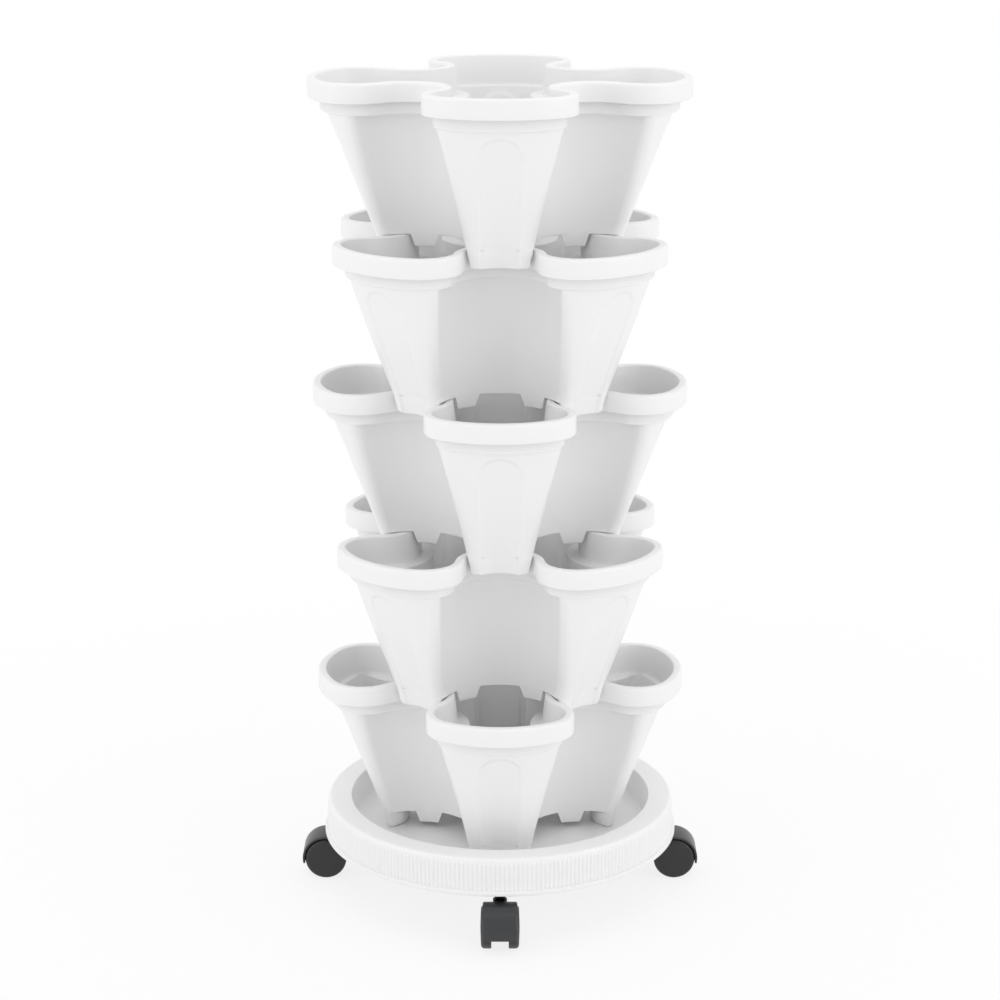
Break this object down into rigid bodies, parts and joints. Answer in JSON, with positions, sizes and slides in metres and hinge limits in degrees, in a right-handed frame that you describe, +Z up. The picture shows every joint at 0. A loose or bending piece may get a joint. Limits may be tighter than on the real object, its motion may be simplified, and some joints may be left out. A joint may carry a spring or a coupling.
{
  "type": "stacking planter tower",
  "caption": "Tower of stacked four-lobed plastic pots, each turned against the next, on a round drip tray with twin-wheel swivel casters.",
  "frame": {"origin": "on the floor, under the middle of the tower", "axes": "+Z up, -Y towards the viewer of the picture, +X to the viewer's right"},
  "size_m": [0.3866, 0.3866, 0.7814],
  "materials": {
    "pot_plastic": "satin white",
    "tray_plastic": "satin white",
    "hood_plastic": "satin charcoal",
    "wheel_plastic": "dull black",
    "bright_steel": "bright zinc"
  },
  "bodies": {
    "tray": {"tray": "tray_plastic", "caster_right_stem": "bright_steel", "caster_right_grip_ring": "bright_steel", "caster_back_stem": "bright_steel", "caster_back_grip_ring": "bright_steel", "caster_left_stem": "bright_steel", "caster_left_grip_ring": "bright_steel", "caster_front_stem": "bright_steel", "caster_front_grip_ring": "bright_steel"},
    "pot_5": {"pot_5": "pot_plastic"},
    "pot_4": {"pot_4": "pot_plastic"},
    "pot_3": {"pot_3": "pot_plastic"},
    "pot_2": {"pot_2": "pot_plastic"},
    "pot_1": {"pot_1": "pot_plastic"},
    "right_swivel": {"caster_right_hood": "hood_plastic", "caster_right_axle": "bright_steel"},
    "right_wheel_a": {"caster_right_wheel_a": "wheel_plastic"},
    "right_wheel_b": {"caster_right_wheel_b": "wheel_plastic"},
    "back_swivel": {"caster_back_hood": "hood_plastic", "caster_back_axle": "bright_steel"},
    "back_wheel_a": {"caster_back_wheel_a": "wheel_plastic"},
    "back_wheel_b": {"caster_back_wheel_b": "wheel_plastic"},
    "left_swivel": {"caster_left_hood": "hood_plastic", "caster_left_axle": "bright_steel"},
    "left_wheel_a": {"caster_left_wheel_a": "wheel_plastic"},
    "left_wheel_b": {"caster_left_wheel_b": "wheel_plastic"},
    "front_swivel": {"caster_front_hood": "hood_plastic", "caster_front_axle": "bright_steel"},
    "front_wheel_a": {"caster_front_wheel_a": "wheel_plastic"},
    "front_wheel_b": {"caster_front_wheel_b": "wheel_plastic"}
  },
  "joints": [
    {"name": "pot_5_lift", "type": "slide", "parent": "tray", "child": "pot_5", "axis": [0, 0, 1], "range_m": [0, 0.06]},
    {"name": "pot_4_lift", "type": "slide", "parent": "pot_5", "child": "pot_4", "axis": [0, 0, 1], "range_m": [0, 0.06]},
    {"name": "pot_3_lift", "type": "slide", "parent": "pot_4", "child": "pot_3", "axis": [0, 0, 1], "range_m": [0, 0.06]},
    {"name": "pot_2_lift", "type": "slide", "parent": "pot_3", "child": "pot_2", "axis": [0, 0, 1], "range_m": [0, 0.06]},
    {"name": "pot_1_lift", "type": "slide", "parent": "pot_2", "child": "pot_1", "axis": [0, 0, 1], "range_m": [0, 0.06]},
    {"name": "right_caster_swivel", "type": "hinge", "parent": "tray", "child": "right_swivel", "pos_m": [0.1545, 0, 0.0405], "axis": [0, 0, 1], "continuous": true},
    {"name": "right_wheel_a_spin", "type": "hinge", "parent": "right_swivel", "child": "right_wheel_a", "pos_m": [0.1705, 0, 0.02], "axis": [0, 1, 0], "continuous": true},
    {"name": "right_wheel_b_spin", "type": "hinge", "parent": "right_swivel", "child": "right_wheel_b", "pos_m": [0.1705, 0, 0.02], "axis": [0, 1, 0], "continuous": true},
    {"name": "back_caster_swivel", "type": "hinge", "parent": "tray", "child": "back_swivel", "pos_m": [0, 0.1545, 0.0405], "axis": [0, 0, 1], "continuous": true},
    {"name": "back_wheel_a_spin", "type": "hinge", "parent": "back_swivel", "child": "back_wheel_a", "pos_m": [0, 0.1705, 0.02], "axis": [-1, 0, 0], "continuous": true},
    {"name": "back_wheel_b_spin", "type": "hinge", "parent": "back_swivel", "child": "back_wheel_b", "pos_m": [0, 0.1705, 0.02], "axis": [-1, 0, 0], "continuous": true},
    {"name": "left_caster_swivel", "type": "hinge", "parent": "tray", "child": "left_swivel", "pos_m": [-0.1545, 0, 0.0405], "axis": [0, 0, 1], "continuous": true},
    {"name": "left_wheel_a_spin", "type": "hinge", "parent": "left_swivel", "child": "left_wheel_a", "pos_m": [-0.1705, 0, 0.02], "axis": [0, -1, 0], "continuous": true},
    {"name": "left_wheel_b_spin", "type": "hinge", "parent": "left_swivel", "child": "left_wheel_b", "pos_m": [-0.1705, 0, 0.02], "axis": [0, -1, 0], "continuous": true},
    {"name": "front_caster_swivel", "type": "hinge", "parent": "tray", "child": "front_swivel", "pos_m": [0, -0.1545, 0.0405], "axis": [0, 0, 1], "continuous": true},
    {"name": "front_wheel_a_spin", "type": "hinge", "parent": "front_swivel", "child": "front_wheel_a", "pos_m": [0, -0.1705, 0.02], "axis": [1, 0, 0], "continuous": true},
    {"name": "front_wheel_b_spin", "type": "hinge", "parent": "front_swivel", "child": "front_wheel_b", "pos_m": [0, -0.1705, 0.02], "axis": [1, 0, 0], "continuous": true}
  ]
}
